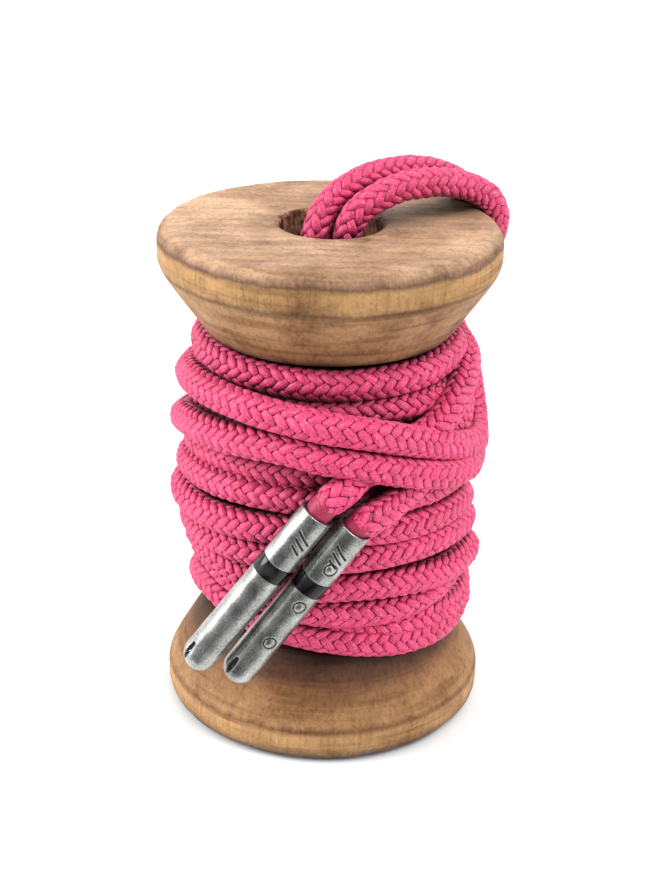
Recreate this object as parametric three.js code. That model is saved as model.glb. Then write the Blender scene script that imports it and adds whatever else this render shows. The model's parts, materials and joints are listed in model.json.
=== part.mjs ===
// A wooden spool carrying one long round braided lace, wound doubled, with a metal tip on each end.
// Millimetres, +Z up. The spool stands on its lower head, with the origin at the middle of its foot.
// The lace's middle loops down into the spool's hole, and its two ends lie across the front (-Y).

import * as THREE from 'three';

// ---- spool -------------------------------------------------------------------------------------
const SPOOL_HEIGHT = 79.3;
const TOP_RADIUS = 26;
const BOTTOM_RADIUS = 25.64;
const HOLE_RADIUS = 7.83;
const TOP_INNER_Z = 63.5; // underside of the upper head
const BOTTOM_INNER_Z = 16; // upper side of the lower head
const TOP_BAND_Z = 73.7; // where the upper head's rim turns into its cone
const BOTTOM_BAND_Z = 5.6;
const TOP_INNER_RADIUS = 19;
const BOTTOM_INNER_RADIUS = 19.4;
const BARREL_RADIUS = 16.3;
const BARREL_HOLE_RADIUS = 7;
const TENON_RADIUS = 12;
const TENON_LENGTH = 8.5;
const GAP = 0.3; // between parts that touch
const SPOOL_SIDES = 48;

// ---- lace --------------------------------------------------------------------------------------
const LACE_TUBE_RADIUS = 2.15; // the lace where it is pulled tight over the upper head
const LACE_SIDES = 8;
const BRIDGE_STEPS = 60;
const TAIL_RADIUS = 2.3;
const TAIL_STEPS = 3;
const TAIL_END_GAP = 2.3; // room for a tip to bend where its film leaves the lace

// ---- lace tips ---------------------------------------------------------------------------------
const TIP_RADIUS = 2.65;
const TIP_WALL = 0.5;
const TIP_STRAIGHT = 29.4; // from the mouth to the middle of the round end
const TIP_SIDES = 24;
const FILM_RADIUS = 1.75;
const FILM_WALL = 0.25;
const FILM_OUTSIDE = 2.2; // film that shows past the mouth
const FILM_INSIDE = 12;
const BAND_FROM_MOUTH = 9.6;
const BAND_LENGTH = 2.7;
const BAND_GROOVE_DEPTH = 0.2;
const SMALL_GAP = 0.1; // between a tip's own thin pieces

// Each tip: the middle of its mouth, and the middle of its round end.
const LEFT_MOUTH = new THREE.Vector3(-1, -27.9, 44.7);
const LEFT_END = new THREE.Vector3(-18.1, -27, 20.6);
const RIGHT_MOUTH = new THREE.Vector3(4.4, -27.4, 42.2);
const RIGHT_END = new THREE.Vector3(-12.2, -26.4, 18.1);
// Where each tail comes out from under the outer wraps.
const LEFT_EXIT = new THREE.Vector3(4.5, -27.7, 49.7);
const RIGHT_EXIT = new THREE.Vector3(11, -26.8, 46.2);

// ---- outlines ----------------------------------------------------------------------------------

// An outline corner is [radius, height] or [radius, height, before, after], where before and after
// say how far from the corner its rounding starts and ends.
function roundedOutline(corners, steps = 5) {
  const points = [];
  corners.forEach(([r, z, before = 0, after = before], i) => {
    const corner = new THREE.Vector2(r, z);
    if (before === 0) {
      points.push(corner);
      return;
    }
    const last = corners[(i + corners.length - 1) % corners.length];
    const next = corners[(i + 1) % corners.length];
    const toLast = new THREE.Vector2(last[0] - r, last[1] - z).setLength(before);
    const toNext = new THREE.Vector2(next[0] - r, next[1] - z).setLength(after);
    const bend = new THREE.QuadraticBezierCurve(
      corner.clone().add(toLast),
      corner,
      corner.clone().add(toNext),
    );
    points.push(...bend.getPoints(steps));
  });
  return points;
}

// Turns an outline round the Z axis. A closed outline is a ring, an open one starts and ends on the axis.
function turned(points, sides, closed) {
  const outline = closed ? [...points, points[0].clone()] : points;
  const geometry = new THREE.LatheGeometry(outline, sides);
  geometry.rotateX(Math.PI / 2);
  return geometry;
}

function quarterRound(radius, middleZ, steps) {
  const points = [];
  for (let i = 0; i <= steps; i++) {
    const angle = (i / steps) * (Math.PI / 2);
    points.push(new THREE.Vector2(radius * Math.sin(angle), middleZ - radius * Math.cos(angle)));
  }
  points[0].x = 0;
  return points;
}

function tube(route, radius, steps) {
  const section = new THREE.Shape();
  for (let i = 0; i < LACE_SIDES; i++) {
    const angle = (i / LACE_SIDES) * 2 * Math.PI;
    const x = radius * Math.cos(angle);
    const y = radius * Math.sin(angle);
    if (i === 0) section.moveTo(x, y);
    else section.lineTo(x, y);
  }
  section.closePath();
  return new THREE.ExtrudeGeometry(section, {
    steps,
    bevelEnabled: false,
    extrudePath: new THREE.CatmullRomCurve3(route, false, 'centripetal'),
  });
}

// ---- materials ---------------------------------------------------------------------------------

const wood = () => new THREE.MeshStandardMaterial({ color: 0xcda58c, roughness: 0.65, metalness: 0 });
const lace = () => new THREE.MeshStandardMaterial({ color: 0xeb5f8c, roughness: 0.6, metalness: 0 });
const pewter = () => new THREE.MeshStandardMaterial({ color: 0x9ca09a, roughness: 0.4, metalness: 1 });
const blackBand = () => new THREE.MeshStandardMaterial({ color: 0x0a0a0c, roughness: 0.15, metalness: 0 });
const clearFilm = () => new THREE.MeshStandardMaterial({ color: 0xf07fa8, roughness: 0.1, metalness: 0 });

function piece(name, geometry, material) {
  const mesh = new THREE.Mesh(geometry, material);
  mesh.name = name;
  return mesh;
}

// ---- spool pieces ------------------------------------------------------------------------------

function topFlange() {
  const socketRadius = TENON_RADIUS + GAP;
  const socketTop = TOP_INNER_Z + TENON_LENGTH + GAP;
  return roundedOutline([
    [socketRadius, TOP_INNER_Z],
    [TOP_INNER_RADIUS, TOP_INNER_Z, 0.8],
    [TOP_RADIUS, TOP_BAND_Z, 3, 1.2],
    [TOP_RADIUS, SPOOL_HEIGHT, 4.2, 2.3],
    [HOLE_RADIUS, SPOOL_HEIGHT, 0.8],
    [HOLE_RADIUS, socketTop],
    [socketRadius, socketTop],
  ]);
}

function bottomFlange() {
  const socketRadius = TENON_RADIUS + GAP;
  const socketFloor = BOTTOM_INNER_Z - TENON_LENGTH - GAP;
  return roundedOutline([
    [socketRadius, socketFloor],
    [HOLE_RADIUS, socketFloor],
    [HOLE_RADIUS, 0, 0.8],
    [BOTTOM_RADIUS, 0, 3.3],
    [BOTTOM_RADIUS, BOTTOM_BAND_Z, 1.2, 3],
    [BOTTOM_INNER_RADIUS, BOTTOM_INNER_Z, 0.8],
    [socketRadius, BOTTOM_INNER_Z],
  ]);
}

function barrel() {
  const low = BOTTOM_INNER_Z + GAP;
  const high = TOP_INNER_Z - GAP;
  return roundedOutline([
    [BARREL_HOLE_RADIUS, BOTTOM_INNER_Z - TENON_LENGTH],
    [TENON_RADIUS, BOTTOM_INNER_Z - TENON_LENGTH],
    [TENON_RADIUS, low],
    [BARREL_RADIUS, low],
    [BARREL_RADIUS, high],
    [TENON_RADIUS, high],
    [TENON_RADIUS, TOP_INNER_Z + TENON_LENGTH],
    [BARREL_HOLE_RADIUS, TOP_INNER_Z + TENON_LENGTH],
  ]);
}

// The wound lace as one ring: it bulges towards the outer wraps, and the last turns under the
// upper head lie close to the barrel.
function laceWinding() {
  const inside = BARREL_RADIUS + GAP;
  const low = BOTTOM_INNER_Z + GAP;
  const high = TOP_INNER_Z - GAP;
  return roundedOutline([
    [inside, low],
    [21.4, low],
    [22.6, 20],
    [23.4, 28],
    [23.8, 34],
    [24.15, 40],
    [24.2, 46.2],
    [24.9, 46.8],
    [24.9, 58.2],
    [21.5, 59.4],
    [21.4, high],
    [inside, high],
  ]);
}

// One strand pair with the lace's middle as a loop: up the back of the winding, over the rim, down
// into the hole, round the loop and out again beside itself.
const BRIDGE_ROUTE = [
  [19, 16.4, 61],
  [21, 16.4, 65],
  [23.3, 15.1, 69.2],
  [25.3, 13.5, 73.3],
  [25.8, 12.4, 77],
  [24.6, 11.3, 80.1],
  [22.3, 9.7, 82],
  [19.6, 7.5, 83.4],
  [16.3, 5, 84.4],
  [13.3, 2.9, 84.7],
  [10.2, 1, 84.6],
  [7.2, -0.7, 83.7],
  [4.4, -2.1, 81.8],
  [3.1, -2.5, 78.6],
  [3.3, -2.2, 74],
  [3.8, -1.6, 68],
  [3.7, -1.5, 64],
  [2.6, -1.4, 61],
  [0, -1.3, 59.8],
  [-2.6, -1.4, 61],
  [-3.7, -1.5, 64],
  [-3.8, -1.5, 68],
  [-2.9, -1.6, 74],
  [-2.1, -1.5, 78.2],
  [-1.1, -0.2, 80.8],
  [0.6, 1.4, 82.7],
  [3.2, 3, 84.2],
  [6.4, 5, 85.2],
  [10.6, 7.7, 85.4],
  [13.6, 9.8, 84.9],
  [16.9, 12.2, 83.7],
  [19.5, 14.2, 82.1],
  [21.7, 16, 80.1],
  [22.9, 17.1, 77],
  [22.3, 18, 73.3],
  [19.3, 19.9, 69.2],
  [16.4, 21.1, 65],
  [13.9, 20.9, 61],
].map((p) => new THREE.Vector3(...p));

// ---- tips --------------------------------------------------------------------------------------

// A tip's pieces are made with the mouth at the origin, the tip towards -Z and the lace towards +Z.
function tipShell() {
  const inside = TIP_RADIUS - TIP_WALL;
  const grooveTop = -BAND_FROM_MOUTH;
  const grooveBottom = grooveTop - BAND_LENGTH;
  const outer = [
    ...quarterRound(TIP_RADIUS, -TIP_STRAIGHT, 5),
    new THREE.Vector2(TIP_RADIUS, grooveBottom),
    new THREE.Vector2(TIP_RADIUS - BAND_GROOVE_DEPTH, grooveBottom),
    new THREE.Vector2(TIP_RADIUS - BAND_GROOVE_DEPTH, grooveTop),
    new THREE.Vector2(TIP_RADIUS, grooveTop),
    new THREE.Vector2(TIP_RADIUS, 0),
  ];
  const inner = [
    ...quarterRound(inside, -TIP_STRAIGHT, 4),
    new THREE.Vector2(inside, 0),
  ].reverse();
  return turned([...outer, ...inner], TIP_SIDES, false);
}

function tipBand() {
  const inside = TIP_RADIUS - BAND_GROOVE_DEPTH + SMALL_GAP / 2;
  const outside = TIP_RADIUS + SMALL_GAP;
  const high = -BAND_FROM_MOUTH - SMALL_GAP;
  const low = -BAND_FROM_MOUTH - BAND_LENGTH + SMALL_GAP;
  return turned(
    roundedOutline([[inside, low], [outside, low], [outside, high], [inside, high]]),
    TIP_SIDES,
    true,
  );
}

function tipFilm() {
  const inside = FILM_RADIUS - FILM_WALL;
  return turned(
    roundedOutline([
      [inside, -FILM_INSIDE],
      [FILM_RADIUS, -FILM_INSIDE],
      [FILM_RADIUS, FILM_OUTSIDE],
      [inside, FILM_OUTSIDE],
    ]),
    16,
    true,
  );
}

// The pressed end of the lace, inside its film.
function laceEnd() {
  const radius = FILM_RADIUS - FILM_WALL - SMALL_GAP;
  return turned(
    [
      ...quarterRound(radius, -FILM_INSIDE, 4),
      new THREE.Vector2(radius, FILM_OUTSIDE),
      new THREE.Vector2(0, FILM_OUTSIDE),
    ],
    16,
    false,
  );
}

function addTip(group, side, mouth, end, exit) {
  const outward = mouth.clone().sub(end).normalize();
  const tip = new THREE.Group();
  tip.position.copy(mouth);
  tip.quaternion.setFromUnitVectors(new THREE.Vector3(0, 0, 1), outward);
  tip.add(piece(`${side}_aglet`, tipShell(), pewter()));
  tip.add(piece(`${side}_band`, tipBand(), blackBand()));
  tip.add(piece(`${side}_film`, tipFilm(), clearFilm()));
  tip.add(piece(`${side}_lace_end`, laceEnd(), lace()));
  group.add(tip);

  const tailEnd = mouth.clone().addScaledVector(outward, FILM_OUTSIDE + TAIL_END_GAP);
  group.add(piece(`${side}_tail`, tube([exit, tailEnd], TAIL_RADIUS, TAIL_STEPS), lace()));
}

// ---- assembly ----------------------------------------------------------------------------------

const spool = new THREE.Group();
spool.add(piece('top_flange', turned(topFlange(), SPOOL_SIDES, true), wood()));
spool.add(piece('bottom_flange', turned(bottomFlange(), SPOOL_SIDES, true), wood()));
spool.add(piece('barrel', turned(barrel(), SPOOL_SIDES, true), wood()));
spool.add(piece('lace_winding', turned(laceWinding(), SPOOL_SIDES, true), lace()));
spool.add(piece('lace_bridge', tube(BRIDGE_ROUTE, LACE_TUBE_RADIUS, BRIDGE_STEPS), lace()));
addTip(spool, 'left', LEFT_MOUTH, LEFT_END, LEFT_EXIT);
addTip(spool, 'right', RIGHT_MOUTH, RIGHT_END, RIGHT_EXIT);

export default spool;
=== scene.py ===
"""A turned wooden spool wound with one long braided lace, metal-tipped at both ends."""

import json
import math

import bmesh
import bpy
import numpy as np
from mathutils import Matrix, Vector, noise


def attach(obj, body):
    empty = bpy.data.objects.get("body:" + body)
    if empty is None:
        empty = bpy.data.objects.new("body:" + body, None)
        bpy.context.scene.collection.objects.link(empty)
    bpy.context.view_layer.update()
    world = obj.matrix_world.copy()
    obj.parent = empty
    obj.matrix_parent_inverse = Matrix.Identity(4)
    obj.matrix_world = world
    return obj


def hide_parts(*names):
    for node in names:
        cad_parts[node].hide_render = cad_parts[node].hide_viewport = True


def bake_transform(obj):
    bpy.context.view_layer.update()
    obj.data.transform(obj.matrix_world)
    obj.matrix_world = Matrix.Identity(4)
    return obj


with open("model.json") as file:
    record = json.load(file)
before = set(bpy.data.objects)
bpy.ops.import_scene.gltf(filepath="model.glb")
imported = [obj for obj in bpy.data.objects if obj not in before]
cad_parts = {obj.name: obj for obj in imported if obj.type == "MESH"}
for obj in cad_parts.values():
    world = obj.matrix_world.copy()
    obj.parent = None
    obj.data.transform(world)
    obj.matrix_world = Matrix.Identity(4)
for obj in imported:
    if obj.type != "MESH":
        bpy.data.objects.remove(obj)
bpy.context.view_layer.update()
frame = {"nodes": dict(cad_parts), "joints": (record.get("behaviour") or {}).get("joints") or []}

MM = 0.001
SCENE = bpy.context.scene

# ---- driving sizes, in millimetres ---------------------------------------------------------------

LACE_THICK = 5.0
BRAID_LEAD = 14.5  # how far along the lace a yarn goes in one turn round it
BRAID_COLUMNS = 8
ROUTE_STEP = 0.8
FILM_LACE = 0.6  # the lace's thickness inside the film, as a share of its own
FILM_SHOWS = {"left": 2.0, "right": 0.5}
FILM_RADIUS = 1.75
FILM_WALL = 0.22
FILM_INSIDE = 12  # how far the film runs into the tip
RIM_LACE = 0.93  # the lace's thickness where it is pulled over the rim, as a share of its own
RIM_PULL = 20  # how far along the lace that thinning comes on
TIP_RADIUS = 2.65
TIP_WALL = 0.5
BAND_FROM_MOUTH = 9.6
BAND_LENGTH = 2.7
BAND_DEPTH = 0.2
YARN_RADIUS = 0.42  # yarn and core sizes as shares of the lace's thickness
CORE_RADIUS = 0.425
YARN_HEIGHT = 0.15
YARN_WIDTH = 1.2  # as shares of the room that a yarn has in the braid
YARN_LENGTH = 2.25


def joint(name):
    return next(j for j in frame["joints"] if j["name"] == name)


# ---- camera --------------------------------------------------------------------------------------

def add_camera():
    distance, height_angle, roll = 0.28214, math.radians(32.257), math.radians(1.058)
    target = Vector((-0.00025, 0, 0.04276))
    place = Vector((0, -distance * math.cos(height_angle), distance * math.sin(height_angle)))
    ahead = (target - place).normalized()
    level = ahead.cross(Vector((0, 0, 1))).normalized()
    above = level.cross(ahead)
    right = level * math.cos(roll) + above * math.sin(roll)
    up = above * math.cos(roll) - level * math.sin(roll)
    data = bpy.data.cameras.new("camera")
    data.sensor_fit = "VERTICAL"
    data.sensor_height = 36
    data.lens = 66.8
    data.clip_start = 0.01
    camera = bpy.data.objects.new("camera", data)
    turn = Matrix((right, up, -ahead)).transposed().to_4x4()
    camera.matrix_world = Matrix.Translation(place) @ turn
    SCENE.collection.objects.link(camera)
    SCENE.camera = camera


# ---- the lace's route ----------------------------------------------------------------------------

# Stations round the spool are (turn angle in degrees, height, distance from the axis). The angle
# runs on from turn to turn: 0 is the right, 90 the back, 180 the left and 270 the front.

LEFT_END_LINE = [(-4.47, -27.72, 39.81), (-2.16, -27.84, 43.07), (-1.0, -27.9, 44.7),
                 (0.2, -27.85, 46.1)]
LEFT_TAIL = [(1.6, -27.4, 47.15), (2.7, -26.5, 47.7), (4.5, -24.1, 48.6)]
LEFT_RISE = [(290, 50.0, 23.0), (302, 51.8, 22.5), (316, 53.4, 22.5), (328, 55.7, 22.1),
             (340, 57.3, 21.5), (351, 58.6, 21.2), (360, 59.2, 21.0), (390, 60.4, 20.3),
             (430, 61.3, 19.5), (480, 61.6, 18.9)]
UPPER_TURNS = [
    (540, 61.5, 18.7), (585, 60.9, 18.9), (630, 60.6, 18.9), (675, 60.7, 18.9), (720, 61.1, 18.7),
    (810, 56.5, 18.7), (900, 51.5, 18.9), (990, 51.6, 19.0), (1080, 48.5, 19.0), (1170, 45.0, 19.2),
    (1260, 41.8, 20.9), (1290, 42.6, 21.4), (1320, 43.6, 21.7), (1350, 43.5, 21.6),
    (1380, 42.9, 21.3), (1410, 42.2, 20.9), (1440, 40.8, 20.0), (1530, 36.5, 19.6),
    (1620, 32.0, 20.6), (1650, 32.8, 21.0), (1680, 33.5, 21.4), (1710, 33.8, 21.4),
    (1740, 34.0, 21.4), (1770, 33.2, 21.4), (1800, 32.1, 21.4), (1890, 29.6, 20.2),
    (1980, 26.8, 18.9), (2010, 27.2, 19.4), (2028, 26.4, 19.9), (2050, 25.2, 20.3),
    (2070, 24.3, 20.5), (2100, 23.8, 20.7), (2125, 24.2, 20.7), (2145, 25.4, 20.5),
    (2160, 27.2, 20.6)]
UPPER_OUTER = [
    (2190, 31.6, 22.6), (2220, 38.0, 23.8), (2250, 44.5, 24.3), (2295, 51.8, 23.6),
    (2340, 55.6, 21.2), (2370, 57.3, 21.9), (2390, 57.8, 22.9), (2405, 58.0, 24.3),
    (2417, 57.8, 25.3), (2428, 57.2, 26.0), (2441, 56.2, 26.0), (2455, 54.1, 25.0),
    (2476, 50.6, 23.7), (2491, 48.3, 23.2), (2505, 46.6, 23.1), (2518, 45.6, 23.1),
    (2533, 47.6, 23.8), (2548, 53.6, 25.0)]

RIGHT_END_LINE = [(1.0, -27.2, 37.27), (3.27, -27.33, 40.55), (4.4, -27.4, 42.2)]
RIGHT_TAIL = [(5.5, -27.1, 43.0), (7.2, -25.8, 43.3), (8.7, -24.3, 43.6)]
RIGHT_RISE = [(294, 44.1, 24.6), (302, 44.9, 23.2), (312, 46.1, 21.7), (324, 47.8, 20.8),
              (345, 50.3, 20.6), (360, 52.0, 20.4), (390, 54.0, 20.2), (430, 55.4, 19.8),
              (480, 56.6, 19.1)]
LOWER_TURNS = [
    (540, 57.0, 18.7), (585, 56.6, 18.9), (630, 56.3, 18.9), (675, 56.2, 18.9), (720, 56.2, 18.5),
    (810, 51.5, 18.7), (900, 45.6, 19.9), (945, 46.3, 19.9), (990, 46.8, 19.9),
    (1080, 44.5, 18.9), (1170, 41.0, 19.2),
    (1260, 37.1, 22.0), (1290, 36.9, 22.0), (1320, 38.0, 22.0), (1350, 38.7, 21.7),
    (1380, 38.1, 21.6), (1410, 37.3, 21.3), (1440, 35.7, 20.8), (1530, 32.0, 20.2),
    (1620, 28.9, 19.9), (1650, 29.3, 19.9), (1670, 28.7, 20.2), (1690, 28.7, 20.6),
    (1710, 28.8, 20.9), (1740, 28.6, 21.2), (1765, 27.4, 21.8), (1785, 26.6, 22.2),
    (1800, 26.3, 22.4), (1890, 23.8, 20.4), (1980, 21.8, 19.2), (2010, 22.4, 19.6),
    (2040, 20.9, 19.9), (2070, 19.5, 20.0), (2100, 18.0, 20.9), (2125, 17.4, 21.5),
    (2145, 17.6, 21.4), (2160, 18.0, 21.2), (2250, 18.6, 20.4), (2340, 22.6, 18.0),
    (2430, 21.8, 18.3), (2450, 20.9, 19.2), (2462, 20.6, 20.2), (2485, 19.8, 21.0),
    (2506, 18.9, 21.3), (2520, 19.4, 21.5)]
LOWER_OUTER = [
    (2545, 21.8, 22.0), (2575, 26.0, 23.2), (2610, 33.0, 24.3), (2655, 42.5, 23.9),
    (2700, 47.9, 22.2), (2730, 50.8, 22.5), (2750, 52.0, 23.4), (2765, 52.8, 24.4),
    (2777, 53.1, 25.3), (2788, 52.4, 26.0), (2801, 51.2, 26.0), (2815, 49.2, 25.2),
    (2830, 47.0, 24.5), (2845, 45.2, 23.9), (2860, 44.1, 23.2), (2875, 43.5, 22.7),
    (2890, 44.2, 23.2), (2907, 46.4, 24.5), (2925, 51.0, 25.4)]

# Over the rim into the hole, round the lace's middle, and out again.
BRIDGE = [(19, 16.4, 61), (21, 16.4, 65), (23.3, 15.1, 69.2), (25.3, 13.5, 73.3), (25.8, 12.4, 77),
          (24.6, 11.3, 80.1), (22.3, 9.7, 82), (19.6, 7.5, 83.4), (16.3, 5, 84.4),
          (13.3, 2.9, 84.7), (10.2, 1, 84.6), (7.0, -0.8, 83.5), (4.1, -2.1, 81.6),
          (2.6, -2.5, 78.6), (2.8, -2.2, 74), (3.8, -1.6, 68), (3.7, -1.5, 64), (2.6, -1.4, 61),
          (0, -1.3, 59.8), (-2.6, -1.4, 61), (-3.7, -1.5, 64), (-3.8, -1.5, 68), (-2.9, -1.6, 74),
          (-2.1, -1.5, 78.2), (-1.1, -0.2, 80.8), (0.6, 1.4, 82.7), (3.2, 3, 84.2), (6.4, 5, 85.2),
          (10.6, 7.7, 85.4), (13.6, 9.8, 84.9), (16.9, 12.2, 83.7), (19.5, 14.2, 82.1),
          (21.7, 16, 80.1), (22.9, 17.1, 77), (22.3, 18, 73.3), (19.3, 19.9, 69.2),
          (16.4, 21.1, 65), (13.9, 20.9, 61)]


def round_the_spool(stations):
    return [
        (r * math.cos(math.radians(a)), r * math.sin(math.radians(a)), z) for a, z, r in stations
    ]


def smooth_line(points, step):
    """A smooth line through the points, as points a step apart."""
    p = np.array(points, float)
    p = np.vstack([2 * p[0] - p[1], p, 2 * p[-1] - p[-2]])
    knots = np.concatenate([[0], np.cumsum(np.sqrt(np.linalg.norm(np.diff(p, axis=0), axis=1)))])
    line = []
    for i in range(1, len(p) - 2):
        t0, t1, t2, t3 = knots[i - 1 : i + 3]
        for t in np.linspace(t1, t2, 24, endpoint=False):
            a1 = (t1 - t) / (t1 - t0) * p[i - 1] + (t - t0) / (t1 - t0) * p[i]
            a2 = (t2 - t) / (t2 - t1) * p[i] + (t - t1) / (t2 - t1) * p[i + 1]
            a3 = (t3 - t) / (t3 - t2) * p[i + 1] + (t - t2) / (t3 - t2) * p[i + 2]
            b1 = (t2 - t) / (t2 - t0) * a1 + (t - t0) / (t2 - t0) * a2
            b2 = (t3 - t) / (t3 - t1) * a2 + (t - t1) / (t3 - t1) * a3
            line.append((t2 - t) / (t2 - t1) * b1 + (t - t1) / (t2 - t1) * b2)
    line.append(p[-2])
    line = np.array(line)
    along = np.concatenate([[0], np.cumsum(np.linalg.norm(np.diff(line, axis=0), axis=1))])
    even = np.linspace(0, along[-1], int(round(along[-1] / step)) + 1)
    return np.stack([np.interp(even, along, line[:, k]) for k in range(3)], axis=1)


def side_vectors(line):
    """A direction square to the line at each point, carried along without twisting."""
    ahead = np.gradient(line, axis=0)
    ahead /= np.linalg.norm(ahead, axis=1)[:, None]
    side = np.cross(ahead[0], (0, 0, 1.0))
    sides = []
    for direction in ahead:
        side = side - direction * (side @ direction)
        side /= np.linalg.norm(side)
        sides.append(side)
    return np.array(sides)


def nearest(line, point):
    return int(np.linalg.norm(line - np.array(point), axis=1).argmin())


def lace_thickness(line, marks):
    """How thick the lace is at each point: thinner in the film, and a little where it is pulled."""
    steps = np.arange(len(line)) * ROUTE_STEP
    by_left = np.interp(steps - marks["left mouth"], [0.8, 2.8], [FILM_LACE, 1.0])
    by_right = np.interp(marks["right mouth"] - steps, [0.1, 1.3], [FILM_LACE, 1.0])
    thick = np.minimum(by_left, by_right)
    pulled = np.interp(steps, [marks["rim start"], marks["rim start"] + RIM_PULL,
                               marks["rim end"] - RIM_PULL, marks["rim end"]],
                       [1, RIM_LACE, RIM_LACE, 1])
    return thick * pulled


def lace_route():
    """The whole lace from the left tip to the right tip: its line, sides and thickness."""
    first = LEFT_END_LINE + LEFT_TAIL + round_the_spool(LEFT_RISE + UPPER_TURNS + UPPER_OUTER)
    second = RIGHT_END_LINE + RIGHT_TAIL + round_the_spool(RIGHT_RISE + LOWER_TURNS + LOWER_OUTER)
    line = smooth_line(first + BRIDGE + second[::-1], ROUTE_STEP)
    marks = {
        "left mouth": nearest(line, LEFT_END_LINE[2]) * ROUTE_STEP,
        "right mouth": nearest(line, RIGHT_END_LINE[2]) * ROUTE_STEP,
        "rim start": nearest(line, BRIDGE[0]) * ROUTE_STEP,
        "rim end": nearest(line, BRIDGE[-1]) * ROUTE_STEP,
    }
    return line, side_vectors(line), lace_thickness(line, marks)


# ---- node helpers --------------------------------------------------------------------------------

class Tree:
    """Adds nodes to a tree and joins them."""

    def __init__(self, tree):
        self.tree = tree

    def add(self, kind, inputs=None, **settings):
        node = self.tree.nodes.new(kind)
        for key, value in settings.items():
            setattr(node, key, value)
        for key, value in (inputs or {}).items():
            self.put(node.inputs[key], value)
        return node

    def put(self, socket, value):
        if isinstance(value, bpy.types.NodeSocket):
            self.tree.links.new(value, socket)
        else:
            socket.default_value = value

    def math(self, what, a, b=0.0, c=0.0):
        node = self.add("ShaderNodeMath", {0: a, 1: b}, operation=what)
        if what in ("MULTIPLY_ADD", "COMPARE"):
            self.put(node.inputs[2], c)
        return node.outputs[0]

    def blend(self, how, a, b, amount=1.0):
        node = self.add("ShaderNodeMix", data_type="RGBA", blend_type=how)
        colours = [socket for socket in node.inputs if socket.enabled and socket.type == "RGBA"]
        amounts = [socket for socket in node.inputs if socket.enabled and socket.name == "Factor"]
        self.put(amounts[0], amount)
        self.put(colours[0], a)
        self.put(colours[1], b)
        return next(socket for socket in node.outputs if socket.enabled)

    def chance(self, kind, low, high, seed):
        node = self.add("FunctionNodeRandomValue", data_type=kind)
        sockets = {socket.name: socket for socket in node.inputs if socket.enabled}
        sockets["Min"].default_value = low
        sockets["Max"].default_value = high
        self.put(sockets["Seed"], seed)
        return next(socket for socket in node.outputs if socket.enabled)

    def vector_math(self, what, a, b=None, scale=None):
        node = self.add("ShaderNodeVectorMath", {0: a}, operation=what)
        if b is not None:
            self.put(node.inputs[1], b)
        if scale is not None:
            self.put(node.inputs["Scale"], scale)
        return node.outputs["Value" if what in ("DOT_PRODUCT", "LENGTH") else "Vector"]


# ---- braided lace --------------------------------------------------------------------------------

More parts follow.
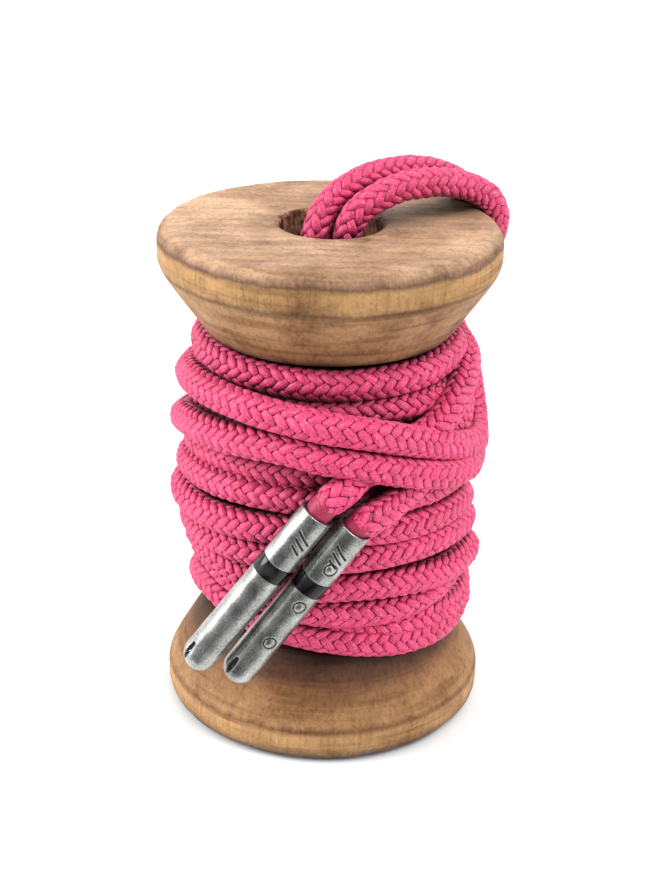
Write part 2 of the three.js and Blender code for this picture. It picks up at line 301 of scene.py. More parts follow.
def braid_tree():
    """Yarn floats set in rows on a core, made flat and then laid round the route."""
    group = bpy.data.node_groups.new("braided_lace", "GeometryNodeTree")
    t = Tree(group)
    sockets = {}

    def ask(name, kind):
        socket = group.interface.new_socket(name, in_out="INPUT", socket_type=kind)
        sockets[name] = socket.identifier

    ask("Route", "NodeSocketGeometry")
    for name in ("Start", "Row spacing", "Core radius", "Float radius", "Float width",
                 "Float length", "Float height", "Lean"):
        ask(name, "NodeSocketFloat")
    ask("Columns", "NodeSocketInt")
    ask("Seed", "NodeSocketInt")
    ask("Material", "NodeSocketMaterial")
    group.interface.new_socket("Lace", in_out="OUTPUT", socket_type="NodeSocketGeometry")
    given = t.add("NodeGroupInput").outputs

    curve = t.add("GeometryNodeMeshToCurve", {"Mesh": given["Route"]}).outputs["Curve"]
    length = t.add("GeometryNodeCurveLength", {"Curve": curve}).outputs["Length"]
    spacing = given["Row spacing"]
    first = t.math("CEIL", t.math("DIVIDE", given["Start"], spacing))
    last = t.math("FLOOR", t.math("DIVIDE", t.math("ADD", given["Start"], length), spacing))
    rows = t.math("ADD", t.math("SUBTRACT", last, first), 1.0)
    count = t.math("MULTIPLY", rows, given["Columns"])

    index = t.add("GeometryNodeInputIndex").outputs[0]
    row = t.math("FLOOR", t.math("DIVIDE", t.math("ADD", index, 0.5), given["Columns"]))
    column = t.math("SUBTRACT", index, t.math("MULTIPLY", row, given["Columns"]))
    odd = t.math("MODULO", column, 2.0)
    # Every second column sits half a row on, so that each float ends at its neighbour's side.
    row_here = t.math("ADD", t.math("ADD", row, first), t.math("MULTIPLY", odd, 0.5))
    along = t.math("SUBTRACT", t.math("MULTIPLY", row_here, spacing), given["Start"])
    around = t.math("DIVIDE", t.math("MULTIPLY", column, 2 * math.pi), given["Columns"])
    across = t.math("MULTIPLY", around, given["Float radius"])
    flat_place = t.add("ShaderNodeCombineXYZ", {"X": across, "Y": along}).outputs[0]
    points = t.add("GeometryNodePoints", {"Count": count, "Position": flat_place}).outputs[0]

    # A pad with a full outline: a ball with its coordinates pushed outwards.
    ball = t.add("GeometryNodeMeshUVSphere", {"Segments": 8, "Rings": 4, "Radius": 1.0})
    ball = t.add("GeometryNodeTransform", {"Geometry": ball.outputs["Mesh"],
                                           "Rotation": (math.pi / 2, 0, 0)})
    here = t.add("GeometryNodeInputPosition").outputs[0]
    ball_place = t.add("ShaderNodeSeparateXYZ", {"Vector": here}).outputs
    squared = [t.math("MULTIPLY", t.math("SIGN", ball_place[axis]),
                      t.math("POWER", t.math("ABSOLUTE", ball_place[axis]), power))
               for axis, power in (("X", 0.7), ("Y", 0.55), ("Z", 0.8))]
    full = t.add("ShaderNodeCombineXYZ", {"X": squared[0], "Y": squared[1], "Z": squared[2]})
    ball = t.add("GeometryNodeSetPosition", {"Geometry": ball.outputs[0],
                                             "Position": full.outputs[0]})
    ball = t.add("GeometryNodeStoreNamedAttribute",
                 {"Geometry": ball.outputs[0], "Name": "yarn_place", "Value": here},
                 data_type="FLOAT_VECTOR", domain="POINT")
    size = t.add("ShaderNodeCombineXYZ", {
        "X": t.math("MULTIPLY", given["Float width"], 0.5),
        "Y": t.math("MULTIPLY", given["Float length"], 0.5),
        "Z": t.math("MULTIPLY", given["Float height"], 0.5)}).outputs[0]
    pad = t.add("GeometryNodeTransform", {"Geometry": ball.outputs[0], "Scale": size}).outputs[0]

    lean = t.math("MULTIPLY", t.math("SUBTRACT", t.math("MULTIPLY", odd, 2.0), 1.0), given["Lean"])
    wobble = t.chance("FLOAT", -0.06, 0.06, given["Seed"])
    turn = t.add("ShaderNodeCombineXYZ", {"Z": t.math("ADD", lean, wobble)}).outputs[0]
    swell = t.chance("FLOAT_VECTOR", (0.95, 0.94, 0.85), (1.05, 1.04, 1.15),
                     t.math("ADD", given["Seed"], 7.0))
    placed = t.add("GeometryNodeInstanceOnPoints", {
        "Points": points, "Instance": pad, "Rotation": turn, "Scale": swell}).outputs[0]
    tone = t.chance("FLOAT", 0.0, 1.0, t.math("ADD", given["Seed"], 19.0))
    toned = t.add("GeometryNodeStoreNamedAttribute", {
        "Geometry": placed, "Name": "yarn_tone", "Value": tone},
        data_type="FLOAT", domain="INSTANCE")
    flat = t.add("GeometryNodeRealizeInstances", {"Geometry": toned.outputs[0]}).outputs[0]

    place = t.add("ShaderNodeSeparateXYZ", {"Vector": here}).outputs
    on_curve = t.math("MINIMUM", t.math("MAXIMUM", place["Y"], 0.0), length)
    side = t.add("GeometryNodeInputNamedAttribute", {"Name": "side"}, data_type="FLOAT_VECTOR")
    thick = t.add("GeometryNodeInputNamedAttribute", {"Name": "thick"}, data_type="FLOAT")
    thick_value = [o for o in thick.outputs if o.enabled and o.name == "Attribute"][0]
    sample = t.add("GeometryNodeSampleCurve", {
        "Curves": curve, "Value": side.outputs["Attribute"], "Length": on_curve},
        data_type="FLOAT_VECTOR", mode="LENGTH", use_all_curves=True)
    sample_thick = t.add("GeometryNodeSampleCurve", {
        "Curves": curve, "Value": thick_value, "Length": on_curve},
        data_type="FLOAT", mode="LENGTH", use_all_curves=True)
    side_here = sample.outputs["Value"]
    ahead = sample.outputs["Tangent"]
    other = t.vector_math("CROSS_PRODUCT", ahead, side_here)
    angle = t.math("DIVIDE", place["X"], given["Float radius"])
    reach = t.math("MULTIPLY", t.math("ADD", place["Z"], given["Float radius"]),
                   sample_thick.outputs["Value"])
    past_end = t.math("SUBTRACT", place["Y"], on_curve)
    spot = t.vector_math("ADD", sample.outputs["Position"],
                         t.vector_math("SCALE", ahead, scale=past_end))
    spot = t.vector_math("ADD", spot, t.vector_math(
        "SCALE", side_here, scale=t.math("MULTIPLY", reach, t.math("COSINE", angle))))
    spot = t.vector_math("ADD", spot, t.vector_math(
        "SCALE", other, scale=t.math("MULTIPLY", reach, t.math("SINE", angle))))
    floats = t.add("GeometryNodeSetPosition", {"Geometry": flat, "Position": spot}).outputs[0]

    sized = t.add("GeometryNodeSetCurveRadius", {"Curve": curve, "Radius": thick_value}).outputs[0]
    ring = t.add("GeometryNodeCurvePrimitiveCircle",
                 {"Resolution": 8, "Radius": given["Core radius"]})
    core = t.add("GeometryNodeCurveToMesh", {
        "Curve": sized, "Profile Curve": ring.outputs["Curve"], "Fill Caps": True}).outputs[0]
    whole = t.add("GeometryNodeJoinGeometry")
    t.tree.links.new(core, whole.inputs[0])
    t.tree.links.new(floats, whole.inputs[0])
    smooth = t.add("GeometryNodeSetShadeSmooth", {"Geometry": whole.outputs[0]}).outputs[0]
    real = t.add("GeometryNodeRealizeInstances", {"Geometry": smooth}).outputs[0]
    dressed = t.add("GeometryNodeSetMaterial", {"Geometry": real, "Material": given["Material"]})
    t.add("NodeGroupOutput", {0: dressed.outputs[0]})
    return group, sockets


def add_braid(name, line, sides, thick, start, tree, sockets, material, seed):
    """A run of the lace as one mesh, with its braid in step with the runs before and after it."""
    data = bpy.data.meshes.new(name)
    points = [tuple(p) for p in line * MM]
    data.from_pydata(points, [(i, i + 1) for i in range(len(points) - 1)], [])
    data.attributes.new("side", "FLOAT_VECTOR", "POINT").data.foreach_set("vector", sides.ravel())
    data.attributes.new("thick", "FLOAT", "POINT").data.foreach_set("value", thick)
    piece = bpy.data.objects.new(name, data)
    SCENE.collection.objects.link(piece)
    modifier = piece.modifiers.new("braid", "NODES")
    modifier.node_group = tree
    lace = LACE_THICK * MM
    float_radius = YARN_RADIUS * lace
    lean = math.atan(2 * math.pi * float_radius / (BRAID_LEAD * MM))
    yarn_width = 2 * math.pi * float_radius / BRAID_COLUMNS * math.cos(lean)
    sizes = {
        "Start": start * MM, "Row spacing": BRAID_LEAD / BRAID_COLUMNS * MM,
        "Columns": BRAID_COLUMNS, "Core radius": CORE_RADIUS * lace, "Float radius": float_radius,
        "Float width": YARN_WIDTH * yarn_width, "Float length": YARN_LENGTH * yarn_width,
        "Float height": YARN_HEIGHT * lace, "Lean": lean, "Seed": seed, "Material": material,
    }
    for key, value in sizes.items():
        modifier[sockets[key]] = value
    bpy.context.view_layer.update()
    made = bpy.data.meshes.new_from_object(
        piece.evaluated_get(bpy.context.evaluated_depsgraph_get()))
    piece.modifiers.clear()
    piece.data = made
    made.name = name
    return piece


def add_lace(material):
    line, sides, thick = lace_route()
    tree, sockets = braid_tree()
    near_left = len(line) // 10
    cuts = [
        0,
        nearest(line[:near_left], LEFT_TAIL[1]),
        nearest(line[:near_left], round_the_spool(LEFT_RISE)[7]),
        nearest(line, BRIDGE[0]),
        nearest(line, BRIDGE[-1]),
        len(line) - near_left + nearest(line[-near_left:], round_the_spool(RIGHT_RISE)[6]),
        len(line) - near_left + nearest(line[-near_left:], RIGHT_TAIL[1]),
        len(line) - 1,
    ]
    names = ["left_end_lace", "left_tail_lace", "upper_wound_lace", "rim_lace", "lower_wound_lace",
             "right_tail_lace", "right_end_lace"]
    runs = {}
    for i, name in enumerate(names):
        part = slice(cuts[i], cuts[i + 1] + 1)
        piece = add_braid(name, line[part], sides[part], thick[part], cuts[i] * ROUTE_STEP, tree,
                          sockets, material, 3 + i)
        runs[name] = (piece, line[part] * MM)
    return runs


def declare_lace(runs):
    """Bakes the tail and end runs in place, attaches the wound runs to the spool, and hides the
    nodes that the runs replace.
    """
    for side, towards_tip in (("left", 0), ("right", -1)):
        tail, line = runs[side + "_tail_lace"]
        end, end_line = runs[side + "_end_lace"]
        route = line if towards_tip == 0 else line[::-1]
        swing = Vector(joint(side + "_tail_swing")["pos_m"])
        closest = int(np.linalg.norm(route - np.array(swing), axis=1).argmin())
        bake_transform(tail)
        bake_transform(end)
        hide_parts(side + "_tail")
        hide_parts(side + "_lace_end")
    for name in ("upper_wound_lace", "rim_lace", "lower_wound_lace"):
        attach(runs[name][0], "spool")
    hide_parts("lace_winding")
    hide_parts("lace_bridge")


# ---- turned pieces -------------------------------------------------------------------------------

def rounded_outline(corners, steps=7):
    """Corners are (distance from the axis, height, rounding before, rounding after)."""
    outline = []
    count = len(corners)
    for i, (r, z, before, after) in enumerate(corners):
        here = Vector((r, z))
        back = (Vector(corners[i - 1][:2]) - here).normalized()
        ahead = (Vector(corners[(i + 1) % count][:2]) - here).normalized()
        start, end = here + back * before, here + ahead * after
        for k in range(steps + 1 if before or after else 1):
            t = k / steps
            outline.append((1 - t) ** 2 * start + 2 * t * (1 - t) * here + t * t * end)
    return outline


def spaced(outline, gap):
    """The closed outline with points no further apart than the gap."""
    points = []
    for here, after in zip(outline, outline[1:] + outline[:1]):
        parts = max(1, math.ceil((after - here).length / gap))
        points += [here.lerp(after, k / parts) for k in range(parts)]
    return points


def turned(name, outline, sides, material, dent=None, place=None):
    """A closed ring made by turning an outline about the axis; dent moves a point outwards."""
    rows = len(outline)
    points, dents = [], []
    for i in range(sides):
        angle = 2 * math.pi * i / sides
        across = Vector((math.cos(angle), math.sin(angle), 0))
        for k, spot in enumerate(outline):
            tangent = outline[(k + 1) % rows] - outline[k - 1]
            normal = Vector((tangent.y, -tangent.x)).normalized()
            depth = dent(angle, spot.x, spot.y) if dent else 0.0
            spot = spot + normal * depth
            dents.append(depth)
            point = across * spot.x + Vector((0, 0, spot.y))
            points.append(place @ point if place else point)
    faces = [
        (i * rows + k, (i + 1) % sides * rows + k, (i + 1) % sides * rows + (k + 1) % rows,
         i * rows + (k + 1) % rows)
        for i in range(sides) for k in range(rows)
    ]
    data = bpy.data.meshes.new(name)
    data.from_pydata([p * MM for p in points], [], faces)
    data.attributes.new("dent", "FLOAT", "POINT").data.foreach_set("value", dents)
    mesh = bmesh.new()
    mesh.from_mesh(data)
    bmesh.ops.remove_doubles(mesh, verts=mesh.verts, dist=0.004 * MM)
    bmesh.ops.recalc_face_normals(mesh, faces=mesh.faces)
    mesh.to_mesh(data)
    mesh.free()
    data.polygons.foreach_set("use_smooth", [True] * len(data.polygons))
    data.materials.append(material)
    piece = bpy.data.objects.new(name, data)
    SCENE.collection.objects.link(piece)
    return piece


def wood_wear(seed, edge_height, edge_radius):
    """Turning marks, small dents, and an edge worn uneven."""
    def dent(angle, r, z):
        place = Vector((r * math.cos(angle), r * math.sin(angle), z + seed * 60))
        swell = 0.10 * noise.noise(place * 0.09) + 0.03 * noise.noise(place * 0.5)
        at_edge = math.exp(-((z - edge_height) ** 2 + (r - edge_radius) ** 2) / 2.5)
        worn = min(0, noise.noise(place * 0.35) - 0.1)
        return swell + 0.28 * at_edge * worn
    return dent


def hole_wear(base):
    """The same, with the hole's wall torn into fibres."""
    def dent(angle, r, z):
        if r > HOLE_EDGE_RADIUS or z > HOLE_EDGE_HEIGHT:
            return base(angle, r, z)
        place = Vector((math.cos(angle) * 14, math.sin(angle) * 14, z * 0.8))
        return 0.32 * noise.noise(place) + 0.12 * noise.noise(place * 2.7)
    return dent


HOLE_EDGE_RADIUS = 8.4
HOLE_EDGE_HEIGHT = 78.6
HEAD_SIDES = 320
HEAD_GAP = 0.55  # between neighbouring points of a head's outline
TOP_OUTLINE = [(7.83, 79.3, 0.8, 0.8), (7.83, 72.3, 0, 0.2), (12.3, 72.3, 0, 0),
               (12.3, 63.5, 0, 0), (19, 63.5, 0.3, 0.8), (26, 73.7, 3, 1.2),
               (26, 79.3, 2.6, 2.6)]
BOTTOM_OUTLINE = [(7.83, 0, 0, 0.8), (25.64, 0, 2.9, 2.9), (25.64, 5.6, 1.2, 3),
                  (19.4, 16, 0.8, 0.3), (12.3, 16, 0, 0), (12.3, 7.2, 0, 0), (7.83, 7.2, 0.2, 0)]


def add_heads(top_material, bottom_material):
    top = turned("top_head", spaced(rounded_outline(TOP_OUTLINE), HEAD_GAP), HEAD_SIDES,
                 top_material, hole_wear(wood_wear(1, 79.3, 26)))
    bottom = turned("bottom_head", spaced(rounded_outline(BOTTOM_OUTLINE), HEAD_GAP), HEAD_SIDES,
                    bottom_material, wood_wear(2, 0, 25.64))
    return top, bottom


# ---- tips ----------------------------------------------------------------------------------------

TIP_MOUTHS = {"left": (-1, -27.9, 44.7), "right": (4.4, -27.4, 42.2)}
TIP_ENDS = {"left": (-18.1, -27, 20.6), "right": (-12.2, -26.4, 18.1)}
DIMPLE_PLACES = [6.7, 14.5, 22.1]  # from the mouth
DIMPLE_ANGLE = math.radians(28)
DIMPLE_RADIUS = 0.95
SLOT_ANGLES = {"left": math.radians(-42), "right": math.radians(-26)}
SLOT_PLACES = {"left": 0.2, "right": 0.4}
SLOT_DEPTH = 0.42
SLOT_REACH = 1.6
SEAM_DEPTH = 0.16
CUTS = 3  # slanted cuts near the mouth
CUT_FROM_MOUTH = 3.6
CUT_SPACING = 1.1
CUT_SLANT = 0.5
CUT_MIDDLE = 0.9
CUT_DEPTH = 0.26


def tip_frame(side):
    """Maps (towards the right edge, away from the front, towards the mouth) to the tip."""
    end, mouth = Vector(TIP_ENDS[side]), Vector(TIP_MOUTHS[side])
    along = (mouth - end).normalized()
    front = SCENE.camera.matrix_world.translation / MM - mouth
    front = (front - along * front.dot(along)).normalized()
    right = along.cross(front)
    turn = Matrix((right, -front, along)).transposed().to_4x4()
    return Matrix.Translation(end) @ turn, (mouth - end).length


def bump_at(distance, reach):
    return math.exp(-(distance / reach) ** 2)


def tip_relief(side, length):
    """How far the metal stands out or in at an angle (0 at the front) and a place along the tip."""
    slot_angle, slot_along = SLOT_ANGLES[side], SLOT_PLACES[side]

    def relief(turn_angle, r, z):
        angle = (turn_angle + math.pi / 2 + math.pi) % (2 * math.pi) - math.pi
        outside = r > TIP_RADIUS - TIP_WALL / 2 or z < 0
        if not outside:
            return 0
        from_mouth = length - z
        across = angle * max(r, 0.6)
        depth = 0.03 * noise.noise(Vector((across, z * 0.35, 3 if side == "left" else 9)))
        in_band = abs(from_mouth - BAND_FROM_MOUTH - BAND_LENGTH / 2) < BAND_LENGTH / 2
        if in_band:
            return -BAND_DEPTH
        slot_across = (angle - slot_angle) * TIP_RADIUS
        taper = max(0.12, 0.42 - 0.12 * abs(z - slot_along))
        if abs(z - slot_along) < SLOT_REACH:
            depth -= SLOT_DEPTH * bump_at(slot_across, taper)
        if z < slot_along:
            depth -= SEAM_DEPTH * bump_at(slot_across - 0.16 * z, 0.13)
        if side == "right":
            for place in DIMPLE_PLACES:
                reach = math.hypot((angle - DIMPLE_ANGLE) * TIP_RADIUS, from_mouth - place)
                depth += 0.20 * bump_at(reach, 0.55) - 0.17 * bump_at(reach - DIMPLE_RADIUS, 0.2)
        for k in range(CUTS):
            cut = from_mouth - CUT_FROM_MOUTH - CUT_SPACING * k - CUT_SLANT * (across - CUT_MIDDLE)
            if abs(across - CUT_MIDDLE) < 1.3 - 0.2 * k:
                depth -= CUT_DEPTH * bump_at(cut, 0.2)
        return depth
    return relief


def tip_outline(length):
    """The tip's section: the outside, the closed end, the inside and the rounded mouth."""
    inner = TIP_RADIUS - TIP_WALL
    dome = [math.radians(4.5 * k) for k in range(21)]
    points = [Vector((TIP_RADIUS, z)) for z in np.arange(0.13, length - 0.1, 0.13)][::-1]
    points += [Vector((TIP_RADIUS * math.cos(a), -TIP_RADIUS * math.sin(a))) for a in dome]
    points += [Vector((inner * math.cos(a), -inner * math.sin(a))) for a in dome[::-2]]
    points += [Vector((inner, z)) for z in np.linspace(1, length - 0.15, 16)]
    lip = length - 0.12
    points += [Vector((inner + 0.06, length - 0.03)), Vector((inner + 0.16, length)),
               Vector((TIP_RADIUS - 0.16, length)), Vector((TIP_RADIUS - 0.05, length - 0.04)),
               Vector((TIP_RADIUS, lip))]
    return points[::-1]


def ring_outline(inner, outer, low, high, rounding):
    return rounded_outline([(inner, low, 0, 0), (outer, low, rounding, rounding),
                            (outer, high, rounding, rounding), (inner, high, 0, 0)], 3)


def add_tip(side, pewter, black, clear):
    frame_of_tip, length = tip_frame(side)
    tip = turned(side + "_metal_tip", tip_outline(length), 150, pewter, tip_relief(side, length),
                 frame_of_tip)
    low = length - BAND_FROM_MOUTH - BAND_LENGTH
    ring = ring_outline(TIP_RADIUS - BAND_DEPTH, TIP_RADIUS + 0.01, low + 0.06,
                        low + BAND_LENGTH - 0.06, 0.08)
    band = turned(side + "_black_band", ring, 96, black, None, frame_of_tip)
    sleeve = ring_outline(FILM_RADIUS - FILM_WALL, FILM_RADIUS, length - FILM_INSIDE,
                          length + FILM_SHOWS[side], 0.05)
    film = turned(side + "_clear_film", spaced(sleeve, 0.5), 64, clear, None, frame_of_tip)
    for piece, node, slot in ((tip, "_aglet", "pewter"), (band, "_band", "black_band"),
                              (film, "_film", "clear_film")):
        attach(piece, side + "_tip")
        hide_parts(side + node)
    return [tip, band, film]


# ---- materials -----------------------------------------------------------------------------------

def new_material(name):
    material = bpy.data.materials.new(name)
    material.use_nodes = True
    material.node_tree.nodes.clear()
    t = Tree(material.node_tree)
    shader = t.add("ShaderNodeBsdfPrincipled")
    t.add("ShaderNodeOutputMaterial", {"Surface": shader.outputs[0]})
    return material, t, shader


def ramp(t, value, stops):
    node = t.add("ShaderNodeValToRGB", {"Fac": value})
    elements = node.color_ramp.elements
    while len(elements) < len(stops):
        elements.new(0.5)
    for element, (place, colour) in zip(elements, stops):
        element.position = place
        element.color = (*colour, 1.0) if len(colour) == 3 else colour
    return node.outputs["Color"]


def lace_material():
    material, t, shader = new_material("pink_yarn")
    yarn = t.add("ShaderNodeAttribute", attribute_name="yarn_place").outputs["Vector"]
    tone = t.add("ShaderNodeAttribute", attribute_name="yarn_tone").outputs["Fac"]
    stretched = t.add("ShaderNodeMapping", {"Vector": yarn, "Scale": (6.0, 0.8, 1.0)})
    shift = t.add("ShaderNodeCombineXYZ", {"Z": t.math("MULTIPLY", tone, 40.0)}).outputs[0]
    place = t.vector_math("ADD", stretched.outputs[0], shift)
    fibres = t.add("ShaderNodeTexNoise", {"Vector": place, "Scale": 1.0, "Detail": 3.0})
    fluff_and_glint_specks = t.add("ShaderNodeTexNoise", {
        "Vector": t.add("ShaderNodeTexCoord").outputs["Object"], "Scale": 3800.0, "Detail": 2.0})
    mixed = t.math("MULTIPLY_ADD", fluff_and_glint_specks.outputs["Fac"], 0.5,
                   t.math("MULTIPLY", fibres.outputs["Fac"], 0.5))
    # The yarn's own colour varies along the fibres; the pale pink end of this ramp is painted
    # highlight, glints on the filaments carried by the fine speck noise.
    yarn_tone_and_painted_glints = ramp(t, mixed, [(0.36, (0.46, 0.016, 0.075)), (0.5, (0.70, 0.040, 0.155)),
                           (0.61, (0.88, 0.10, 0.26)), (0.69, (1.0, 0.36, 0.5))])
    # Painted shade: each float gets darker towards its base and the core is darkest, where the
    # neighbouring yarns shade it.
    height = t.add("ShaderNodeSeparateXYZ", {"Vector": yarn}).outputs["Z"]
    painted_pad_shade = ramp(t, height, [(0.0, (0.58, 0.38, 0.46)), (0.4, (0.88, 0.76, 0.82)),
                           (0.8, (1.0, 1.0, 1.0))])
    # Painted shade: ambient occlusion darkens the colour, nearly to black, in the gaps between
    # floats and strands and under the top head.
    crevice = t.add("ShaderNodeAmbientOcclusion", {"Distance": 0.012})
    crevice.samples = 8
    painted_crevice_shade = ramp(t, crevice.outputs["AO"], [
        (0.05, (0.004, 0.001, 0.002)), (0.2, (0.28, 0.15, 0.2)), (0.4, (0.82, 0.7, 0.76)),
        (0.58, (1.0, 1.0, 1.0))])
    colour = t.blend("MULTIPLY", t.blend("MULTIPLY", yarn_tone_and_painted_glints, painted_pad_shade), painted_crevice_shade)
    varied = t.add("ShaderNodeHueSaturation", {
        "Color": colour, "Value": t.math("MULTIPLY_ADD", tone, 0.2, 0.9)})
    t.put(shader.inputs["Base Color"], varied.outputs[0])
    shader.inputs["Roughness"].default_value = 0.5
    shader.inputs["Sheen Weight"].default_value = 0.12
    shader.inputs["Sheen Roughness"].default_value = 0.45
    shader.inputs["Sheen Tint"].default_value = (1.0, 0.55, 0.7, 1.0)
    bump = t.add("ShaderNodeBump", {"Height": mixed, "Strength": 0.7, "Distance": 0.0002})
    t.put(shader.inputs["Normal"], bump.outputs[0])
    return material


def wood_material(name, low, high, stops, face_colour, seed):
    """Stained turned wood: colour by height between low and high, and one colour for flat faces;
    the height stops can hold painted shadow, and ambient occlusion paints shade in crevices.
    """
    material, t, shader = new_material(name)
    place = t.add("ShaderNodeTexCoord").outputs["Object"]
    own = t.add("ShaderNodeMapping", {"Vector": place, "Location": (seed * 0.3, 0, seed * 0.1)})
    own = own.outputs[0]

    def cloud(scale, stretch=(1.0, 1.0, 1.0), detail=4.0, roughness=0.5):
        moved = t.add("ShaderNodeMapping", {"Vector": own, "Scale": stretch}).outputs[0]
        return t.add("ShaderNodeTexNoise", {
            "Vector": moved, "Scale": scale, "Detail": detail, "Roughness": roughness,
        }).outputs["Fac"]

    blotch = cloud(170.0, detail=8.0, roughness=0.68)
    patch = cloud(45.0, detail=3.0)
    grain = cloud(1700.0, (1.0, 1.0, 0.09))
    turning = cloud(900.0, (0.06, 0.06, 1.0))
    pores = cloud(2600.0, detail=2.0)
    parts = t.add("ShaderNodeSeparateXYZ", {"Vector": place}).outputs
    wander = t.math("MULTIPLY", t.math("SUBTRACT", blotch, 0.5), 0.0022)
    height = t.add("ShaderNodeMapRange", {
        "Value": t.math("ADD", parts["Z"], wander), "From Min": low, "From Max": high}).outputs[0]
    sides = ramp(t, height, stops)
    upright = t.add("ShaderNodeSeparateXYZ", {
        "Vector": t.add("ShaderNodeNewGeometry").outputs["Normal"]}).outputs["Z"]
    on_face = t.add("ShaderNodeMapRange", {"Value": upright, "From Min": 0.86, "From Max": 0.97})
    streak = cloud(420.0, (0.25, 1.6, 1.0), detail=5.0)
    face = ramp(t, streak, [(0.32, tuple(c * 0.72 for c in face_colour)), (0.55, face_colour),
                            (0.75, tuple(min(1, c * 1.12) for c in face_colour))])
    colour = t.blend("MIX", sides, face, on_face.outputs[0])
    torn = ramp(t, cloud(900.0, (1.0, 1.0, 0.5)), [
        (0.36, (0.05, 0.014, 0.008)), (0.5, (0.22, 0.085, 0.045)), (0.62, (0.5, 0.3, 0.19))])
    flat = t.add("ShaderNodeCombineXYZ", {"X": parts["X"], "Y": parts["Y"]}).outputs[0]
    in_hole = t.add("ShaderNodeMapRange", {
        "Value": t.vector_math("LENGTH", flat), "From Min": 0.0086, "From Max": 0.0081})
    colour = t.blend("MIX", colour, torn, in_hole.outputs[0])
    stain = t.math("ADD", t.math("MULTIPLY", blotch, 0.6), t.math("MULTIPLY", patch, 0.4))
    stained = ramp(t, stain,
                   [(0.36, (0.5, 0.42, 0.36)), (0.45, (0.84, 0.8, 0.76)), (0.52, (1.0, 1.0, 0.98)),
                    (0.62, (1.24, 1.22, 1.18))])
    colour = t.blend("MULTIPLY", colour, stained)
    fine = t.math("ADD", t.math("MULTIPLY", grain, 0.55), t.math("MULTIPLY", pores, 0.45))
    flecks = ramp(t, fine, [(0.36, (0.74, 0.68, 0.62)), (0.49, (1.0, 1.0, 1.0)),
                            (0.62, (1.16, 1.15, 1.12))])
    colour = t.blend("MULTIPLY", colour, flecks)
    lines = ramp(t, turning, [(0.36, (0.7, 0.64, 0.58)), (0.5, (1.0, 1.0, 1.0))])
    colour = t.blend("MULTIPLY", colour, lines)
    # Painted shade: ambient occlusion darkens the wood in crevices, beside the lace and along the
    # edge on the floor.
    crevice = t.add("ShaderNodeAmbientOcclusion", {"Distance": 0.007})
    crevice.samples = 8
    painted_crevice_shade = ramp(t, crevice.outputs["AO"], [(0.15, (0.1, 0.07, 0.06)), (0.75, (1.0, 1.0, 1.0))])
    t.put(shader.inputs["Base Color"], t.blend("MULTIPLY", colour, painted_crevice_shade))
    t.put(shader.inputs["Roughness"], t.math("MULTIPLY_ADD", blotch, -0.3, 0.78))
    shader.inputs["Specular IOR Level"].default_value = 0.28
    relief = t.math("ADD", fine, t.math("MULTIPLY", turning, 0.6))
    bump = t.add("ShaderNodeBump", {"Height": relief, "Strength": 0.35, "Distance": 0.00012})
    t.put(shader.inputs["Normal"], bump.outputs[0])
    return material


def metal_material():
    """Cast pewter: grainy, satin, darker in the hollows."""
    material, t, shader = new_material("pewter_metal")
    place = t.add("ShaderNodeTexCoord").outputs["Object"]
    grain = t.add("ShaderNodeTexNoise", {"Vector": place, "Scale": 4200.0, "Detail": 2.0})
    tarnish = t.add("ShaderNodeTexNoise", {"Vector": place, "Scale": 330.0, "Detail": 4.0})
    mixed = t.math("ADD", t.math("MULTIPLY", grain.outputs["Fac"], 0.5),
                   t.math("MULTIPLY", tarnish.outputs["Fac"], 0.5))
    colour = ramp(t, mixed, [(0.36, (0.22, 0.225, 0.213)), (0.5, (0.43, 0.44, 0.42)),
                             (0.64, (0.7, 0.71, 0.69))])
    hollow = t.add("ShaderNodeAmbientOcclusion", {"Distance": 0.0006})
    hollow.samples = 8
    shade = ramp(t, hollow.outputs["AO"], [(0.35, (0.03, 0.03, 0.03)), (0.8, (1.0, 1.0, 1.0))])
    # Painted shade: the deep dents (slot, seam, slanted cuts, dimple rings) are coloured near black
    # and not metallic, for the dark inside them.
    dent = t.add("ShaderNodeAttribute", attribute_name="dent").outputs["Fac"]
    cut = t.add("ShaderNodeMapRange", {"Value": dent, "From Min": -0.07, "From Max": -0.12})
    colour = t.blend("MIX", t.blend("MULTIPLY", colour, shade), (0.012, 0.011, 0.011, 1.0),
                     cut.outputs[0])
    t.put(shader.inputs["Base Color"], colour)
    t.put(shader.inputs["Metallic"], t.math("MULTIPLY_ADD", cut.outputs[0], -0.92, 0.92))
    t.put(shader.inputs["Roughness"], t.math("MULTIPLY_ADD", tarnish.outputs["Fac"], 0.22, 0.18))
    bump = t.add("ShaderNodeBump", {"Height": grain.outputs["Fac"], "Strength": 0.3,
                                    "Distance": 0.00003})
    t.put(shader.inputs["Normal"], bump.outputs[0])
    return material


def band_material():
    """Glossy black, with patches of grey that are painted reflection, for shine that varies across
    the band.
    """
    material, t, shader = new_material("black_band_gloss")
    place = t.add("ShaderNodeTexCoord").outputs["Object"]
    steps = t.add("ShaderNodeTexNoise", {"Vector": place, "Scale": 240.0, "Detail": 0.0})
    colour = ramp(t, steps.outputs["Fac"], [
        (0.56, (0.001, 0.001, 0.001)), (0.6, (0.01, 0.01, 0.011)), (0.7, (0.025, 0.026, 0.028))])
    t.put(shader.inputs["Base Color"], colour)
    t.put(shader.inputs["Roughness"], t.math("MULTIPLY_ADD", steps.outputs["Fac"], 0.16, 0.04))
    shader.inputs["Specular IOR Level"].default_value = 0.5
    return material


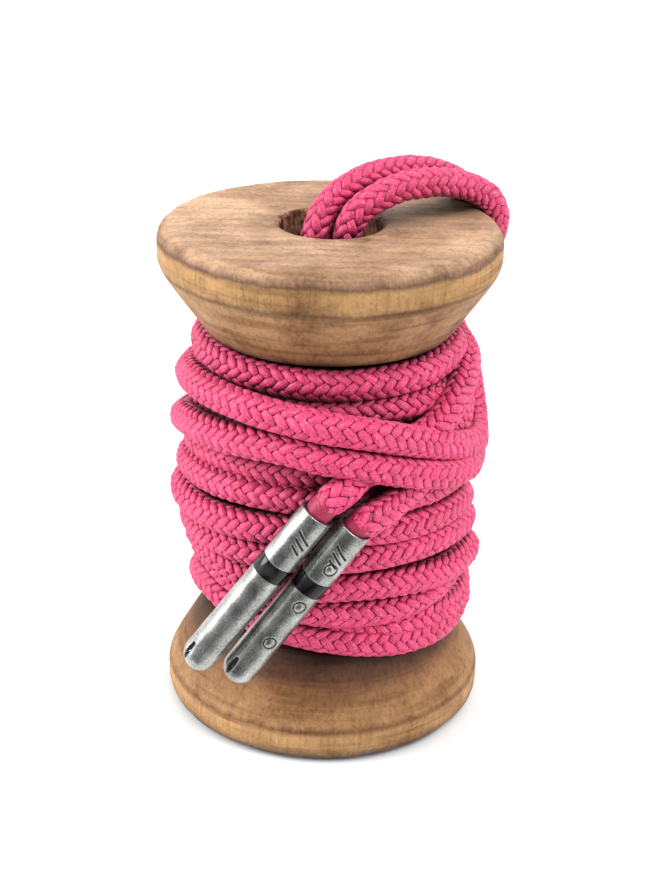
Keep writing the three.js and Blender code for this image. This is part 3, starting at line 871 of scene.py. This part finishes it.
def film_material():
    """Thin clear film, slightly clouded."""
    material, t, shader = new_material("clear_film_gloss")
    place = t.add("ShaderNodeTexCoord").outputs["Object"]
    cloud = t.add("ShaderNodeTexNoise", {"Vector": place, "Scale": 700.0, "Detail": 2.0})
    t.put(shader.inputs["Roughness"], t.math("MULTIPLY_ADD", cloud.outputs["Fac"], 0.12, 0.04))
    shader.inputs["Base Color"].default_value = (0.95, 0.8, 0.86, 1.0)
    shader.inputs["Alpha"].default_value = 0.16
    return material


# ---- stage ---------------------------------------------------------------------------------------

def add_stage():
    data = bpy.data.meshes.new("floor")
    size = 1.5
    data.from_pydata([(-size, -size, 0), (size, -size, 0), (size, size, 0), (-size, size, 0)], [],
                     [(0, 1, 2, 3)])
    floor = bpy.data.objects.new("floor", data)
    material, _, shader = new_material("pale_floor")
    shader.inputs["Base Color"].default_value = (0.93, 0.93, 0.93, 1)
    shader.inputs["Roughness"].default_value = 0.9
    data.materials.append(material)
    floor.visible_glossy = False
    SCENE.collection.objects.link(floor)


def add_light(name, place, target, size, power):
    data = bpy.data.lights.new(name, "AREA")
    data.shape = "DISK"
    data.size = size
    data.energy = power
    light = bpy.data.objects.new(name, data)
    light.location = place
    light.rotation_euler = (Vector(target) - Vector(place)).to_track_quat("-Z", "Y").to_euler()
    SCENE.collection.objects.link(light)


def light_the_scene():
    world = bpy.data.worlds.new("studio")
    world.use_nodes = True
    background = world.node_tree.nodes["Background"]
    background.inputs["Color"].default_value = (1, 1, 1, 1)
    # The studio is dim in front of the object and bright at the sides and overhead.
    t = Tree(world.node_tree)
    forwards = t.vector_math(
        "DOT_PRODUCT", t.add("ShaderNodeTexCoord").outputs["Generated"], (-0.3, -0.95, 0.05))
    dimmed = t.add("ShaderNodeMapRange", {
        "Value": forwards, "From Min": 0.4, "From Max": 0.85, "To Min": 1.2, "To Max": 0.12})
    t.put(background.inputs["Strength"], dimmed.outputs[0])
    SCENE.world = world
    middle_of_spool = (0, 0, 0.04)
    add_light("key_light", (-0.85, -0.12, 0.5), middle_of_spool, 0.7, 8.5)
    add_light("fill_light", (0.55, -0.35, 0.85), middle_of_spool, 0.8, 6.0)
    SCENE.view_settings.view_transform = "Standard"


# ---- making --------------------------------------------------------------------------------------

TOP_STOPS = [(0.0, (0.09, 0.04, 0.018)), (0.08, (0.28, 0.155, 0.07)), (0.35, (0.37, 0.21, 0.1)),
             (0.58, (0.36, 0.205, 0.098)), (0.625, (0.19, 0.1, 0.045)), (0.67, (0.37, 0.21, 0.085)),
             (0.84, (0.42, 0.24, 0.1)), (0.885, (0.15, 0.077, 0.043)),
             (0.92, (0.25, 0.14, 0.085)), (0.97, (0.4, 0.245, 0.145))]
# The first two stops, at the very bottom, are painted shadow where the rounded lower edge meets the
# floor.
BOTTOM_STOPS = [(0.0, (0.03, 0.013, 0.008)), (0.03, (0.05, 0.02, 0.012)), (0.07, (0.41, 0.23, 0.1)),
                (0.29, (0.45, 0.26, 0.115)), (0.34, (0.2, 0.095, 0.04)), (0.40, (0.35, 0.19, 0.08)),
                (0.6, (0.29, 0.148, 0.06)), (0.72, (0.2, 0.09, 0.036)), (0.78, (0.11, 0.046, 0.02)),
                (1.0, (0.05, 0.019, 0.01))]

add_camera()
runs = add_lace(lace_material())
declare_lace(runs)
top_wood = wood_material("top_wood", 0.0635, 0.0793, TOP_STOPS, (0.47, 0.295, 0.185), 1)
bottom_wood = wood_material("bottom_wood", 0.0, 0.016, BOTTOM_STOPS, (0.28, 0.15, 0.07), 2)
barrel_wood = wood_material("barrel_wood", 0.0, 0.08, [(0.0, (0.12, 0.05, 0.03)),
                                                       (1.0, (0.26, 0.1, 0.05))],
                            (0.25, 0.12, 0.07), 3)
heads = add_heads(top_wood, bottom_wood)
for piece, node, slot in zip(heads, ("top_flange", "bottom_flange"),
                             ("top_head_wood", "bottom_head_wood")):
    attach(piece, "spool")
    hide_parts(node)
barrel = frame["nodes"]["barrel"].data
barrel.materials.clear()
barrel.materials.append(barrel_wood)

pewter, black, clear = metal_material(), band_material(), film_material()
tips = {side: add_tip(side, pewter, black, clear) for side in ("left", "right")}
for name in ("upper_wound_lace", "rim_lace", "lower_wound_lace"):
    piece, line = runs[name]
light_the_scene()
add_stage()
